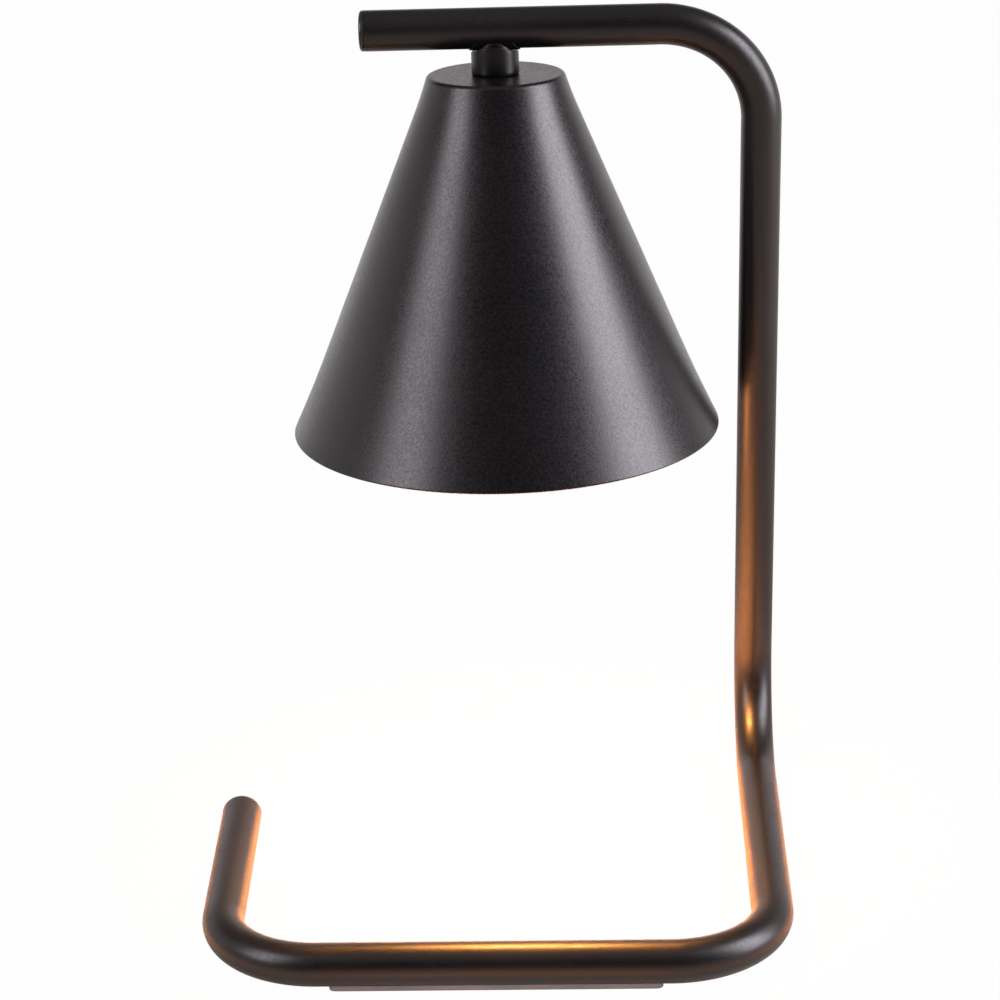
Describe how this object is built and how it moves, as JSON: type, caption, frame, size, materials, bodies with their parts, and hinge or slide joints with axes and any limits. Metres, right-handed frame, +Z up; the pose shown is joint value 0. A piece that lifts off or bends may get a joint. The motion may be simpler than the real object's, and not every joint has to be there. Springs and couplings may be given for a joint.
{
  "type": "candle warmer lamp",
  "caption": "Table lamp that warms a jar candle from above: one bent tube forms base, post and arm, and carries a conical downlight shade with a twist-lock bulb.",
  "frame": {"origin": "middle of the lamp's outline at the table, x to the right, y to the back", "axes": "+Z up from the table, +X from the free leg towards the post, +Y from the front rail towards the foot of the post"},
  "size_m": [0.1848, 0.1962, 0.2678],
  "materials": {
    "black_tube": "satin black powder coat",
    "black_shade": "satin black powder coat on spun aluminium",
    "black_neck": "semi-gloss black coat",
    "black_plastic": "moulded black plastic",
    "bush_plastic": "moulded black plastic",
    "foot_rubber": "matt grey rubber",
    "gasket_rubber": "matt black rubber",
    "zinc_steel": "zinc-plated steel",
    "tag_brass": "tinned brass",
    "nut_brass": "turned brass",
    "contact_bronze": "spring bronze",
    "holder_ceramic": "unglazed white steatite",
    "bulb_ceramic": "white glazed ceramic",
    "pin_metal": "nickel-plated steel",
    "reflector_glass": "pressed glass with a dichroic mirror coat",
    "lens_glass": "clear pressed glass",
    "quartz": "clear quartz",
    "tungsten": "tungsten wire",
    "lead_blue": "blue insulation",
    "lead_brown": "brown insulation",
    "lead_green": "green and yellow insulation"
  },
  "bodies": {
    "lamp": {"frame_tube": "black_tube", "arm_end_cap": "black_plastic", "cord_bush": "bush_plastic", "rail_foot_strip": "foot_rubber", "left_leg_pad": "foot_rubber", "right_leg_pad": "foot_rubber", "saddle_gasket": "gasket_rubber", "neck_spacer": "black_neck", "threaded_nipple": "zinc_steel", "shade_shell": "black_shade", "toothed_washer": "zinc_steel", "hanger_strap": "zinc_steel", "earth_tag": "tag_brass", "lock_nut": "nut_brass", "holder_screws": "zinc_steel", "lampholder_cap": "holder_ceramic", "lampholder_body": "holder_ceramic", "contact_live": "contact_bronze", "contact_neutral": "contact_bronze", "lead_neutral": "lead_blue", "lead_live": "lead_brown", "lead_earth": "lead_green"},
    "bulb": {"bulb_base": "bulb_ceramic", "bulb_pins": "pin_metal", "bulb_reflector": "reflector_glass", "bulb_lens": "lens_glass", "bulb_capsule": "quartz", "bulb_filament": "tungsten"}
  },
  "joints": [
    {"name": "bulb_twist", "type": "hinge", "parent": "lamp", "child": "bulb", "pos_m": [0.0039, 0.02996, 0.209], "axis": [0, 0, -1], "range_deg": [0, 30]}
  ]
}
